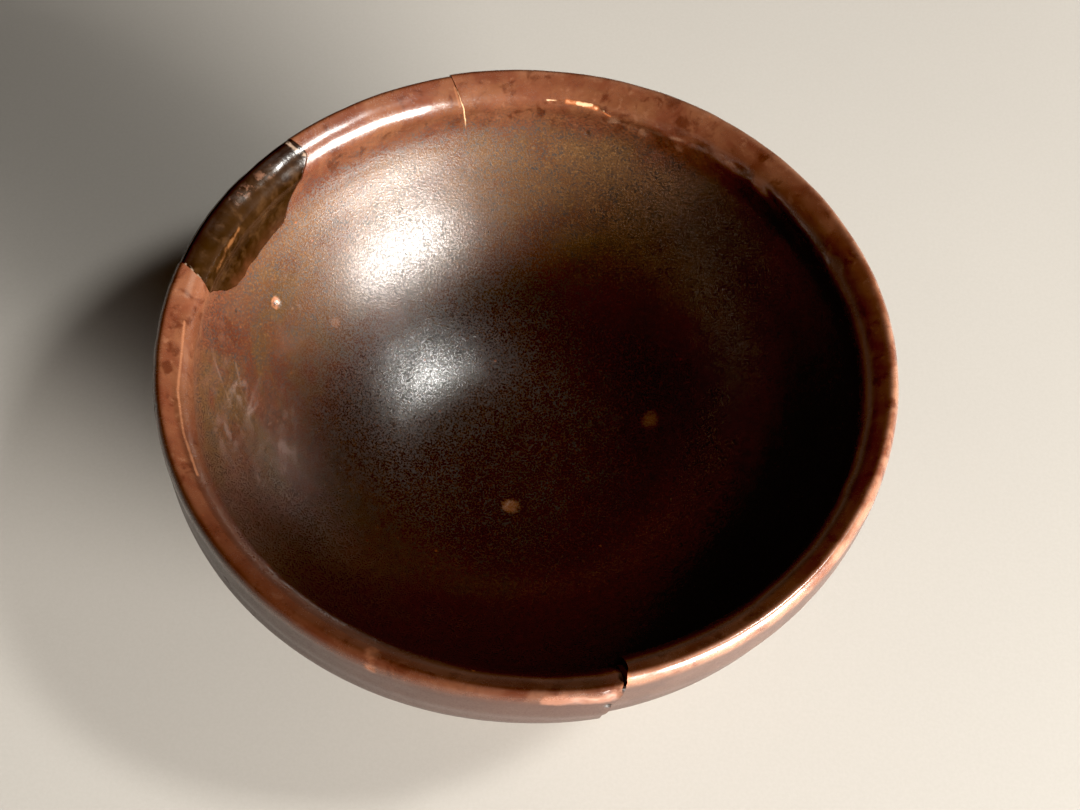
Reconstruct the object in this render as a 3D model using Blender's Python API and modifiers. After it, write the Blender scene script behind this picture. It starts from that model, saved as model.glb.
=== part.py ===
"""A hemispherical tea bowl, thrown, glazed, broken in two and mended.

Two stoneware sherds meet along a break that runs from the back of the rim,
through the floor and the foot ring, to the front of the rim. Each sherd carries
its own coat of iron glaze inside, over the lip and down the outside to just
above the foot. A sheet of hardened lacquer glue fills the break. A lost piece of
the left rim is made good with a putty core under a coat of lacquer.

Units are metres, +Z is up, and the origin is on the ground under the middle of
the mouth. Rerun it in Blender to rebuild the bowl.
"""

import math

import bmesh
import bpy
from mathutils import Vector

MM = 0.001

# Driving dimensions, in millimetres.
HEIGHT = 60.0
LIP_RADIUS = 61.1  # the widest part of the lip, outside
BALL_Z = 67.0  # height of the centre that the inner and outer walls share
INNER_BALL = 56.9  # radius of the hemispherical inside
OUTER_BALL_R = 63.5  # half width and depth of the ellipsoid of the outside
OUTER_BALL_H = 62.9
WELL_RADIUS = 26.2  # ring where the wall meets the floor of the well
FLOOR_Z = 12.7
FOOT_RADIUS = 24.2
FOOT_HEIGHT = 8.0
FOOT_INNER_RADIUS = 18.0
FOOT_RECESS = 5.4
GLAZE_LINE_Z = 12.2  # the glaze stops here on the outside, above the foot
GLAZE = 0.7  # thickness of the coat
GAP = 0.3  # clearance between pieces that touch
GLUE = 0.3  # thickness of the sheet of glue
SEGMENTS = 64
LEAN = 1.2  # the outer wall is this much fuller on the left than a true turning

# The lost piece of the rim, seen from outside along its own azimuth.
PATCH_AZIMUTH = 151.7
PATCH_OUTLINE = [(-15.6, 66.0), (-15.8, 58.0), (-11.4, 53.6), (-6.6, 48.9), (0.0, 48.4), (7.4, 47.9), (11.4, 49.4), (16.3, 55.6), (15.8, 60.0), (14.8, 66.0)]

CLAY_RGB = (0.36, 0.25, 0.17)
GLAZE_RGB = (0.085, 0.026, 0.013)
LACQUER_RGB = (0.045, 0.022, 0.010)
PUTTY_RGB = (0.20, 0.13, 0.07)
GLUE_RGB = (0.42, 0.27, 0.14)


# --- outline of the finished bowl, in its half plane -----------------------------------

def inner_wall_radius(z):
    return math.sqrt(INNER_BALL**2 - (BALL_Z - z) ** 2)


def outer_wall_radius(z):
    return OUTER_BALL_R * math.sqrt(1 - ((BALL_Z - z) / OUTER_BALL_H) ** 2)


def glazed_outline():
    """(radius, height) from the middle of the floor, up the inside, over the lip and down to the glaze line."""
    well = [(0, FLOOR_Z), (9, FLOOR_Z + 0.25), (17, FLOOR_Z + 1.0), (22.5, FLOOR_Z + 2.0), (25.2, FLOOR_Z + 2.9), (WELL_RADIUS + 0.4, FLOOR_Z + 4.1)]
    wall = []
    for step in range(1, 7):
        angle = math.radians(62.1 - (62.1 - 20.0) * step / 6)
        wall.append((INNER_BALL * math.cos(angle), BALL_Z - INNER_BALL * math.sin(angle)))
    lip = [(54.9, 50.2), (55.3, 53.2), (55.1, 55.4), (55.75, 57.2), (57.0, HEIGHT - 1.4), (58.7, HEIGHT - 0.4), (59.9, HEIGHT), (60.75, 59.2), (LIP_RADIUS, 57.4), (60.95, 51.6)]
    outside = []
    for step in range(8):
        z = 46.6 + (GLAZE_LINE_Z - 46.6) * step / 7
        outside.append((outer_wall_radius(z), z))
    return [Vector(p) for p in well + wall[:-1] + lip + outside]


def bare_outline():
    """(radius, height) of the unglazed clay, from below the glaze line, round the foot to the middle of its recess."""
    return [Vector(p) for p in [
        (outer_wall_radius(GLAZE_LINE_Z - 0.35), GLAZE_LINE_Z - 0.35),
        (26.6, 9.6), (24.8, FOOT_HEIGHT), (FOOT_RADIUS, 4.0), (FOOT_RADIUS - 0.3, 1.0), (FOOT_RADIUS - 0.9, 0),
        (FOOT_INNER_RADIUS + 0.6, 0), (FOOT_INNER_RADIUS, 0.6), (FOOT_INNER_RADIUS - 0.6, FOOT_RECESS - 0.9), (FOOT_INNER_RADIUS - 1.6, FOOT_RECESS), (3.0, FOOT_RECESS + 0.1), (0, FOOT_RECESS - 0.4),
    ]]


def inset(points, depth):
    """The same open line moved by depth to its right hand side, which is into the clay."""
    moved = []
    for i, p in enumerate(points):
        before = points[max(i - 1, 0)]
        after = points[min(i + 1, len(points) - 1)]
        a = (p - before).normalized() if i > 0 else (after - p).normalized()
        b = (after - p).normalized() if i < len(points) - 1 else a
        along = (a + b).normalized()
        right = Vector((along.y, -along.x))
        share = max(right.dot(Vector((a.y, -a.x))), 0.6)
        q = p + right * (depth / share)
        moved.append(Vector((max(q.x, 0.0), q.y)))
    moved[0].x = 0.0
    return moved


# --- helpers ---------------------------------------------------------------------------

def collection(name):
    made = bpy.data.collections.new(name)
    bpy.context.scene.collection.children.link(made)
    return made


def material(name, rgb, roughness, coat=0.0):
    made = bpy.data.materials.new(name)
    made.use_nodes = True
    shader = made.node_tree.nodes["Principled BSDF"]
    shader.inputs["Base Color"].default_value = (*rgb, 1)
    shader.inputs["Roughness"].default_value = roughness
    shader.inputs["Metallic"].default_value = 0.0
    shader.inputs["Coat Weight"].default_value = coat
    made.diffuse_color = (*rgb, 1)
    return made


def realised(obj, group, name):
    """The evaluated mesh of obj as a new plain object, with obj removed."""
    graph = bpy.context.evaluated_depsgraph_get()
    mesh = bpy.data.meshes.new_from_object(obj.evaluated_get(graph))
    made = bpy.data.objects.new(name, mesh)
    made.matrix_world = obj.matrix_world
    group.objects.link(made)
    bpy.data.objects.remove(obj)
    bm = bmesh.new()
    bm.from_mesh(mesh)
    bmesh.ops.remove_doubles(bm, verts=bm.verts, dist=0.00001)
    bm.to_mesh(mesh)
    bm.free()
    mesh.name = name
    return made


def by_hand(point):
    """A thrown wall is never a true turning: the outside swells a little on the left between the lip and the foot."""
    z = point.z / MM
    depth = (point - Vector((0, 0, BALL_Z * MM))).length / MM - INNER_BALL
    outside = min(max((depth - 1.2) / 4.5, 0.0), 1.0)
    below_lip = min(max((55.0 - z) / 13.0, 0.0), 1.0)
    above_foot = min(max((z - 9.0) / 14.0, 0.0), 1.0)
    share = outside * below_lip * below_lip * (3 - 2 * below_lip) * above_foot
    radius = math.hypot(point.x, point.y)
    if radius < 1e-6:
        return point
    out = Vector((point.x / radius, point.y / radius, 0))
    return point + out * (-LEAN * MM * share * out.x)


def turned(name, outline, group):
    """A Screw turning of the outline, which starts and ends on the axis."""
    mesh = bpy.data.meshes.new(name)
    mesh.from_pydata([(p.x * MM, 0, p.y * MM) for p in outline], [(i, i + 1) for i in range(len(outline) - 1)], [])
    obj = bpy.data.objects.new(name, mesh)
    group.objects.link(obj)
    screw = obj.modifiers.new("turn", "SCREW")
    screw.axis = "Z"
    screw.steps = SEGMENTS
    screw.render_steps = SEGMENTS
    screw.use_merge_vertices = True
    screw.merge_threshold = 0.00002
    bpy.context.view_layer.update()
    obj = realised(obj, group, name)
    for vertex in obj.data.vertices:
        vertex.co = by_hand(vertex.co.copy())
    return obj


def slab(name, outline, low, high, group, turn=None):
    """A flat outline as a filled 2D curve, extruded along its own Z from low to high."""
    curve = bpy.data.curves.new(name, "CURVE")
    curve.dimensions = "2D"
    curve.fill_mode = "BOTH"
    curve.extrude = (high - low) / 2 * MM
    spline = curve.splines.new("POLY")
    spline.points.add(len(outline) - 1)
    for point, (x, y) in zip(spline.points, outline):
        point.co = (x * MM, y * MM, 0, 1)
    spline.use_cyclic_u = True
    obj = bpy.data.objects.new(name, curve)
    group.objects.link(obj)
    obj.location = (0, 0, (high + low) / 2 * MM)
    if turn is not None:
        azimuth = math.radians(turn)
        # The outline's x runs along the rim, its y runs up, and its z points away from the bowl's axis.
        obj.rotation_euler = (math.radians(90), 0, azimuth + math.radians(90))
        obj.location = (math.cos(azimuth) * (high + low) / 2 * MM, math.sin(azimuth) * (high + low) / 2 * MM, 0)
    bpy.context.view_layer.update()
    obj = realised(obj, group, name)
    hide(obj)
    bm = bmesh.new()
    bm.from_mesh(obj.data)
    bmesh.ops.recalc_face_normals(bm, faces=bm.faces)
    if bm.calc_volume(signed=True) < 0:
        bmesh.ops.reverse_faces(bm, faces=bm.faces)
    bm.to_mesh(obj.data)
    bm.free()
    return obj


def hide(obj):
    obj.hide_render = True
    obj.display_type = "WIRE"


def piece(name, form, finish, cuts, group, about):
    """A copy of the form, trimmed by (operation, cutter) pairs. Every form and cutter is closed, as MANIFOLD needs."""
    obj = bpy.data.objects.new(name, form.data.copy())
    obj.data.name = name
    group.objects.link(obj)
    for number, (operation, cutter) in enumerate(cuts):
        boolean = obj.modifiers.new(f"cut_{number}", "BOOLEAN")
        boolean.operation = operation
        boolean.solver = "MANIFOLD"
        boolean.object = cutter
    weld = obj.modifiers.new("tidy", "WELD")
    weld.merge_threshold = 0.02 * MM
    obj.data.materials.clear()
    obj.data.materials.append(finish)
    obj.data.shade_smooth()
    obj.data.set_sharp_from_angle(angle=math.radians(35))
    obj.parent = about
    return obj


def break_x(y):
    """Where the break runs: right to left across the bowl from front to back, with a slow wave."""
    t = y / 59.0
    bow = max(1 - t * t, 0.0)
    return -0.2 - 16.1 * t + 8.4 * bow + 2.0 * math.sin(3.6 * t + 0.5) * bow


def beside_break(offset, far):
    """Outline of the ground on one side of the break, or of the sheet in it when far is None."""
    ys = [80 - 160 * i / 20 for i in range(21)]
    near = [(break_x(y) + offset, y) for y in ys]
    if far is None:
        return near + [(break_x(y) - offset, y) for y in reversed(ys)]
    return near + [(far, -80), (far, 80)]


def shrunk(outline, by):
    """The patch outline moved in by a constant distance."""
    count = len(outline)
    made = []
    for i in range(count):
        p = Vector(outline[i])
        a = (p - Vector(outline[i - 1])).normalized()
        b = (Vector(outline[(i + 1) % count]) - p).normalized()
        left = Vector((-(a + b).y, (a + b).x)).normalized()
        share = max(left.dot(Vector((-a.y, a.x))), 0.5)
        made.append(tuple(p + left * (by / share)))
    return made


# --- the bowl --------------------------------------------------------------------------

def main():
    for obj in list(bpy.data.objects):
        bpy.data.objects.remove(obj, do_unlink=True)

    bowl = collection("matcha_bowl")
    tools = collection("cutters")
    tools.hide_render = True

    about = bpy.data.objects.new("bowl_axis", None)
    bowl.objects.link(about)

    clay_finish = material("bare_clay", CLAY_RGB, 0.85)
    glaze_finish = material("iron_glaze", GLAZE_RGB, 0.28, 0.4)
    lacquer_finish = material("repair_lacquer", LACQUER_RGB, 0.2, 0.5)
    putty_finish = material("repair_putty", PUTTY_RGB, 0.8)
    glue_finish = material("glue_line", GLUE_RGB, 0.55)

    coat = glazed_outline()
    bare = bare_outline()
    clay_form = turned("clay_form", inset(coat, GLAZE + GAP) + bare, tools)
    coat_form = turned("coat_form", coat + inset(coat, GLAZE)[::-1], tools)
    whole_form = turned("whole_form", coat + bare[1:], tools)
    for form in (clay_form, coat_form, whole_form):
        hide(form)

    away = GLUE / 2 + GAP
    left_side = slab("left_side", beside_break(-away, -90), -10, 80, tools)
    right_side = slab("right_side", beside_break(away, 90), -10, 80, tools)
    break_sheet = slab("break_sheet", beside_break(GLUE / 2, None), 0.4, 80, tools)
    patch_hole = slab("patch_hole", PATCH_OUTLINE, 40, 80, tools, PATCH_AZIMUTH)
    patch_fill = slab("patch_fill", shrunk(PATCH_OUTLINE, GAP), 40, 80, tools, PATCH_AZIMUTH)

    keep, cut = "INTERSECT", "DIFFERENCE"
    piece("left_sherd", clay_form, clay_finish, [(keep, left_side), (cut, patch_hole)], bowl, about)
    piece("right_sherd", clay_form, clay_finish, [(keep, right_side)], bowl, about)
    piece("left_glaze", coat_form, glaze_finish, [(keep, left_side), (cut, patch_hole)], bowl, about)
    piece("right_glaze", coat_form, glaze_finish, [(keep, right_side)], bowl, about)
    piece("patch_putty", clay_form, putty_finish, [(keep, patch_fill)], bowl, about)
    piece("patch_lacquer", coat_form, lacquer_finish, [(keep, patch_fill)], bowl, about)
    piece("break_glue", whole_form, glue_finish, [(keep, break_sheet)], bowl, about)


main()
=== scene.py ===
"""Looks for a mended, iron-glazed tea bowl: two sherds glued together, and a lacquered fill in the rim.

Lengths in the geometry below are in millimetres until a mesh is made, and the
outline repeats the numbers of the CAD part, drawn finer and worn by hand.
"""

import math

import bpy
import numpy as np
from mathutils import Matrix


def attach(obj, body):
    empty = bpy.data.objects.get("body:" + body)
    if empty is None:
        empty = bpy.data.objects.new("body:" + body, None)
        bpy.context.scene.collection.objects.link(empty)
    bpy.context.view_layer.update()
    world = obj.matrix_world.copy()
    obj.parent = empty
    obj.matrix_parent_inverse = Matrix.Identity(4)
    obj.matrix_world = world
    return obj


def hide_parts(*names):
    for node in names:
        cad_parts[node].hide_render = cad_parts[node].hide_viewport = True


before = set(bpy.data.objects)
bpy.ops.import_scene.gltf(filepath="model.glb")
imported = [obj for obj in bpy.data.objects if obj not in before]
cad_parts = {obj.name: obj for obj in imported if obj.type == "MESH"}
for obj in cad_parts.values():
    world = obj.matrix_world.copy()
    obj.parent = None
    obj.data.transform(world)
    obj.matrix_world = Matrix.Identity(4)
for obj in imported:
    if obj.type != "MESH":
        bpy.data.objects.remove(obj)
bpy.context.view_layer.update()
MM = 0.001

# --- the CAD's driving sizes, in millimetres ---------------------------------------------
HEIGHT = 60.0
LIP_RADIUS = 61.1
BALL_Z = 67.0
INNER_BALL = 56.9
OUTER_BALL_R = 63.5
OUTER_BALL_H = 62.9
WELL_RADIUS = 26.2
FLOOR_Z = 12.7
FOOT_RADIUS = 24.2
FOOT_HEIGHT = 8.0
FOOT_INNER_RADIUS = 18.0
FOOT_RECESS = 5.4
GLAZE_LINE_Z = 12.2
GLAZE = 0.7
GAP = 0.3
LEAN = 1.2
PATCH_AZIMUTH = 151.7
PATCH_OUTLINE = [(-15.6, 66.0), (-15.8, 58.0), (-11.4, 53.6), (-6.6, 48.9), (0.0, 48.4), (7.4, 47.9), (11.4, 49.4), (16.3, 55.6), (15.8, 60.0), (14.8, 66.0)]


def smooth(x, lo, hi):
    t = np.clip((x - lo) / (hi - lo), 0, 1)
    return t * t * (3 - 2 * t)


# --- seeded smooth noise, the same on every run ------------------------------------------
def lattice(seed, shape):
    return np.random.default_rng(seed).uniform(-1, 1, shape)


def noise3(x, y, z, scale, seed):
    """Smooth value noise in -1..1. Scale is the size of one lump."""
    table = lattice(seed, (32, 32, 32))
    out = 0
    g = [np.asarray(v, float) / scale for v in np.broadcast_arrays(x, y, z)]
    base = [np.floor(v).astype(int) for v in g]
    frac = [v - b for v, b in zip(g, base)]
    frac = [f * f * (3 - 2 * f) for f in frac]
    for i in (0, 1):
        for j in (0, 1):
            for k in (0, 1):
                w = (frac[0] if i else 1 - frac[0]) * (frac[1] if j else 1 - frac[1]) * (frac[2] if k else 1 - frac[2])
                out = out + w * table[(base[0] + i) % 32, (base[1] + j) % 32, (base[2] + k) % 32]
    return out


def fbm(x, y, z, scale, seed, octaves=3):
    total, weight = 0, 1.0
    for o in range(octaves):
        total = total + weight * noise3(x, y, z, scale / 2**o, seed + o)
        weight *= 0.5
    return total


# --- outline ------------------------------------------------------------------------------
def outer_wall_radius(z):
    return OUTER_BALL_R * math.sqrt(1 - ((BALL_Z - z) / OUTER_BALL_H) ** 2)


def glazed_outline():
    """From the middle of the floor, up the inside, over the lip and down to the glaze line."""
    well = [(0, FLOOR_Z), (9, FLOOR_Z + 0.25), (17, FLOOR_Z + 1.0), (22.5, FLOOR_Z + 2.0), (25.2, FLOOR_Z + 2.9), (WELL_RADIUS + 0.4, FLOOR_Z + 4.1)]
    wall = []
    for step in range(1, 7):
        angle = math.radians(62.1 - (62.1 - 20.0) * step / 6)
        wall.append((INNER_BALL * math.cos(angle), BALL_Z - INNER_BALL * math.sin(angle)))
    lip = [(54.9, 50.2), (55.3, 53.2), (55.1, 55.4), (55.75, 57.2), (57.0, HEIGHT - 1.4), (58.7, HEIGHT - 0.4), (59.9, HEIGHT), (60.75, 59.2), (LIP_RADIUS, 57.4), (60.95, 51.6)]
    outside = []
    for step in range(8):
        z = 46.6 + (GLAZE_LINE_Z - 46.6) * step / 7
        outside.append((outer_wall_radius(z), z))
    return np.array(well + wall[:-1] + lip + outside, float)


def bare_outline():
    return np.array([
        (outer_wall_radius(GLAZE_LINE_Z - 0.35), GLAZE_LINE_Z - 0.35), (26.6, 9.6), (24.8, FOOT_HEIGHT), (FOOT_RADIUS, 4.0), (FOOT_RADIUS - 0.3, 1.0), (FOOT_RADIUS - 0.9, 0),
        (FOOT_INNER_RADIUS + 0.6, 0), (FOOT_INNER_RADIUS, 0.6), (FOOT_INNER_RADIUS - 0.6, FOOT_RECESS - 0.9), (FOOT_INNER_RADIUS - 1.6, FOOT_RECESS), (3.0, FOOT_RECESS + 0.1), (0, FOOT_RECESS - 0.4),
    ], float)


def curve_through(points, step):
    """A centripetal Catmull-Rom line through the points, sampled about every step(p) mm."""
    first, last = points[0], points[-1]
    # The floor meets the axis level, so the line is mirrored there.
    before = np.array([-points[1][0], points[1][1]]) if first[0] == 0 else 2 * first - points[1]
    after = np.array([-points[-2][0], points[-2][1]]) if last[0] == 0 else 2 * last - points[-2]
    p = np.vstack([before, points, after])
    dense = []
    for i in range(1, len(p) - 2):
        p0, p1, p2, p3 = p[i - 1 : i + 3]
        t0 = 0.0
        t1 = t0 + np.linalg.norm(p1 - p0) ** 0.5
        t2 = t1 + np.linalg.norm(p2 - p1) ** 0.5
        t3 = t2 + np.linalg.norm(p3 - p2) ** 0.5
        t = np.linspace(t1, t2, 40, endpoint=False)[:, None]
        a1 = (t1 - t) / (t1 - t0) * p0 + (t - t0) / (t1 - t0) * p1
        a2 = (t2 - t) / (t2 - t1) * p1 + (t - t1) / (t2 - t1) * p2
        a3 = (t3 - t) / (t3 - t2) * p2 + (t - t2) / (t3 - t2) * p3
        b1 = (t2 - t) / (t2 - t0) * a1 + (t - t0) / (t2 - t0) * a2
        b2 = (t3 - t) / (t3 - t1) * a2 + (t - t1) / (t3 - t1) * a3
        dense.append((t2 - t) / (t2 - t1) * b1 + (t - t1) / (t2 - t1) * b2)
    dense = np.vstack(dense + [points[-1:]])
    gaps = np.linalg.norm(np.diff(dense, axis=0), axis=1)
    middle = (dense[1:] + dense[:-1]) / 2
    density = np.array([1.0 / step(m) for m in middle])
    along = np.concatenate([[0], np.cumsum(gaps * density)])
    count = int(math.ceil(along[-1]))
    want = np.linspace(0, along[-1], count + 1)
    return np.c_[np.interp(want, along, dense[:, 0]), np.interp(want, along, dense[:, 1])]


def inset(line, depth):
    """The line moved into the clay, which is on its right hand side."""
    d = np.gradient(line, axis=0)
    d /= np.linalg.norm(d, axis=1)[:, None]
    moved = line + np.c_[d[:, 1], -d[:, 0]] * depth
    moved[:, 0] = np.maximum(moved[:, 0], 0)
    return moved


def fine_step(p):
    """Fine along the lip, coarser down the walls."""
    r, z = p
    if z > 47:
        return 0.34
    if r < 53 and z < 47 and math.hypot(r, BALL_Z - z) < INNER_BALL + 1.2:
        return 0.72
    return 0.95


FINE = curve_through(glazed_outline(), fine_step)


def eased(line):
    """The turn from floor to wall rounded off, as a rib leaves it."""
    out = line.copy()
    share = smooth(line[:, 0], 10, 18) * smooth(line[:, 0], 44, 34) * (line[:, 1] < 40) * (np.hypot(line[:, 0], BALL_Z - line[:, 1]) < INNER_BALL + 1.2)
    for _ in range(90):
        mean = out.copy()
        mean[1:-1] = (out[:-2] + 2 * out[1:-1] + out[2:]) / 4
        out = out + (mean - out) * share[:, None]
    return out


FINE = eased(FINE)
BARE = curve_through(bare_outline(), lambda p: 0.8)


def azimuths(count):
    """Unevenly spaced azimuths, closer together by the two ends of the break and the chips."""
    a = np.linspace(-math.pi, math.pi, 7201)
    def near(deg, width):
        d = (np.degrees(a) - deg + 180) % 360 - 180
        return np.exp(-((d / width) ** 2))
    weight = 1 + 1.3 * near(105, 4) + 1.3 * near(-74.5, 5) + 0.9 * near(82, 9) + 0.4 * near(152, 18) + 0.5 * near(50, 22)
    total = np.concatenate([[0], np.cumsum((weight[1:] + weight[:-1]) / 2)])
    return np.interp(np.linspace(0, total[-1], count, endpoint=False), total, a)


# --- the hand in the pot: unevenness, wear and chips ------------------------------------------
def by_hand(x, y, z):
    """The outside swells a little on the left between the lip and the foot, as in the CAD."""
    depth = np.sqrt(x**2 + y**2 + (z - BALL_Z) ** 2) - INNER_BALL
    outside = np.clip((depth - 1.2) / 4.5, 0, 1)
    below_lip = np.clip((55.0 - z) / 13.0, 0, 1)
    above_foot = np.clip((z - 9.0) / 14.0, 0, 1)
    share = outside * below_lip**2 * (3 - 2 * below_lip) * above_foot
    r = np.maximum(np.hypot(x, y), 1e-6)
    push = -LEAN * share * x / r
    return x + x / r * push, y + y / r * push, z


def near_path(x, y, z, path):
    """Distance in mm from a polyline, and how far along it the nearest point is (0..1)."""
    best = np.full(np.shape(x), 1e9)
    where = np.zeros(np.shape(x))
    path = np.array(path, float)
    spans = np.linalg.norm(np.diff(path, axis=0), axis=1)
    total = spans.sum()
    done = 0.0
    for a, b, span in zip(path[:-1], path[1:], spans):
        ab = b - a
        t = np.clip(((x - a[0]) * ab[0] + (y - a[1]) * ab[1] + (z - a[2]) * ab[2]) / (span * span), 0, 1)
        d = np.sqrt((x - a[0] - t * ab[0]) ** 2 + (y - a[1] - t * ab[1]) ** 2 + (z - a[2] - t * ab[2]) ** 2)
        closer = d < best
        best = np.where(closer, d, best)
        where = np.where(closer, (done + t * span) / total, where)
        done += span
    return best, where


def on_surface(point, side=None):
    """The point of the finished surface nearest to a mark's point, at the same azimuth."""
    x, y, z = point
    r, az = math.hypot(x, y), math.atan2(y, x)
    near = FINE[np.argmin((FINE[:, 0] - r) ** 2 + (FINE[:, 1] - z) ** 2)]
    if side is None:
        side = -1 if x < float(break_x(np.array(y))) else 1
    at = [np.array([v]) for v in (near[0] * math.cos(az), near[0] * math.sin(az), near[1])]
    at = seated(*by_hand(*at), side)
    return tuple(float(v[0]) for v in at)


CRESCENT = [(2.4, 55.35, 56.5), (5.5, 55.05, 57.0), (8.2, 54.7, 57.1), (11.0, 54.35, 56.7), (13.7, 53.9, 55.5)]
CHIP_EDGE = [(4.6, -60.5, 58.9), (8.5, -60.2, 58.8), (12.9, -59.4, 58.6), (14.6, -58.9, 58.9)]
RAGGED = [(13.8, 54.2, 53.9), (20, 52.0, 54.2), (25, 49.6, 55.2), (29.8, 46.7, 56.0), (35, 42.8, 56.3), (40.4, 38, 56.4), (44.5, 33.4, 55.0), (47.6, 28.9, 53.7), (51.0, 23.5, 56.0), (52.8, 19, 58.0)]
# (x, y, z, radius, depth): pinholes, pits and the hole beside the front end of the break
PITS = [
    (-45.8, 19.9, 39.7, 1.05, 0.6), (-42.4, 21.8, 35.9, 0.5, 0.15), (13.9, -59.9, 56.2, 0.9, 0.45),
    (9.7, 53.9, 49.9, 0.7, 0.14), (-2, -5.5, 12.8, 1.1, 0.18), (-45, -41.2, 52.7, 0.8, 0.3), (-21, -57, 58.6, 0.6, 0.3), (-58.6, -14.6, 59.1, 0.7, 0.25),
    (26.7, 49.1, 53.4, 0.8, 0.3), (20, 52.2, 53.6, 0.9, 0.3), (-20.9, -55.3, 59.9, 0.9, 0.15),
]


def rough_up(x, y, z, nx, ny, nz, side):
    """Moves the finished surface along its normal (n) and shifts the wall, in mm. side is -1 for the left sherd, 1 for the right, 0 for the fill."""
    phi = np.arctan2(y, x)
    deg = np.degrees(phi)
    r = np.hypot(x, y)
    inside = np.hypot(r, BALL_Z - z) < INNER_BALL + 1.0
    inner = np.where(inside, 1.0, 0.0) * smooth(z, 70, 46)
    outer = np.where(inside, 0.0, 1.0)
    wall_s = np.degrees(np.arctan2(BALL_Z - z, r))  # latitude on the inner ball, 90 at the middle of the floor
    push = np.zeros_like(x)
    # throwing rings, a slow spiral, stronger low in the wall
    turn = wall_s / 6.2 + phi / (2 * math.pi)
    rings = np.sin(2 * math.pi * turn + 0.7 * noise3(x, y, z, 22, 3))
    push += inner * 0.007 * rings * (0.55 + 0.45 * noise3(x, y, z, 30, 5)) * smooth(r, 5, 16)
    push += inner * 0.0025 * np.sin(2 * math.pi * (wall_s / 2.45 + phi / (2 * math.pi)) + 1.3 * noise3(x, y, z, 15, 8)) * smooth(r, 5, 14)
    turn_out = z / 5.6 + phi / (2 * math.pi)
    push += outer * smooth(z, 60, 50) * 0.07 * np.sin(2 * math.pi * turn_out + 0.8 * noise3(x, y, z, 18, 9))
    # lumps of the hand and of the glaze
    push += 0.16 * noise3(x, y, z, 34, 11) + 0.022 * noise3(x, y, z, 13, 12) + 0.006 * noise3(x, y, z, 4.5, 13)
    push += 0.003 * noise3(x, y, z, 1.6, 14)
    # the lip: soft swellings, and a worn, ragged lower edge to its inside on the right
    lip = smooth(z, 49, 56)
    push += lip * (0.12 * noise3(x, y, z, 9, 15) + 0.05 * noise3(x, y, z, 3.2, 16))
    d, _ = near_path(x, y, z, RAGGED)
    push += -0.42 * np.exp(-((d / 1.25) ** 2)) * (0.55 + 0.9 * noise3(x, y, z, 2.6, 17)) * (r < 57.5)
    # a soft ridge under the lip, inside
    push += np.where(r < 56.6, 1.0, 0.0) * 0.05 * np.exp(-(((z - 48.6) / 1.5) ** 2)) * (0.7 + 0.5 * noise3(x, y, z, 11, 18))
    # the crescent chip, the chipped edge at the front and the pits
    d, t = near_path(x, y, z, CRESCENT)
    width = 0.05 + 0.45 * np.clip(4 * t * (1 - t), 0, 1)
    push += -0.28 * smooth(d, width + 0.25, width - 0.2)
    if side < 0:
        d, t = near_path(x, y, z, CHIP_EDGE)
        push += -0.50 * smooth(d, 1.25, 0.35) * (0.75 + 0.5 * noise3(x, y, z, 1.4, 19)) * smooth(t, -0.05, 0.5)
    for px, py, pz, pr, depth in PITS:
        d = np.sqrt((x - px) ** 2 + (y - py) ** 2 + (z - pz) ** 2)
        push += -depth * smooth(d, pr, pr * 0.35) + 0.12 * depth * np.exp(-(((d - pr * 1.1) / (0.3 * pr)) ** 2))
    if side == 0:
        push += -0.10 + 0.10 * noise3(x, y, z, 5, 21) + 0.05 * noise3(x, y, z, 2.1, 22)
    x = x + nx * push
    y = y + ny * push
    z = z + nz * push
    return seated(x, y, z, side)


def seated(x, y, z, side):
    """Where a point of a sherd came to rest: the two sherds didn't go back quite level, and the mouth isn't quite round."""
    phi = np.arctan2(y, x)
    deg = np.degrees(phi)
    away_front = ((deg + 74.5 + 180) % 360 - 180) / 20.0
    away_back = ((deg - 105.5 + 180) % 360 - 180) / 14.0
    high = smooth(z, 36, 57)
    if side <= 0:
        z = z - 1.05 * np.exp(-np.abs(away_front) ** 1.4) * high
        r2 = 0.85 * np.exp(-np.abs(away_front) ** 1.4) * high - 0.10 * np.exp(-np.abs(away_back) ** 1.4) * high
        z = z - 0.16 * np.exp(-np.abs(away_back) ** 1.4) * high
    else:
        z = z + 0.12 * np.exp(-np.abs(away_front) ** 1.4) * high
        r2 = -0.30 * np.exp(-np.abs(away_front) ** 1.4) * high + 0.12 * np.exp(-np.abs(away_back) ** 1.4) * high
    # the mouth isn't quite level or round
    z = z + smooth(z, 25, 58) * (0.14 * np.sin(2 * phi + 0.8) + 0.08 * np.sin(3 * phi + 2.1))
    r2 = r2 + smooth(z, 20, 58) * (0.10 * np.sin(2 * phi + 2.4) + 0.06 * np.sin(5 * phi + 0.3))
    rr = np.maximum(np.hypot(x, y), 1e-6)
    return x + x / rr * r2, y + y / rr * r2, z


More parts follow.
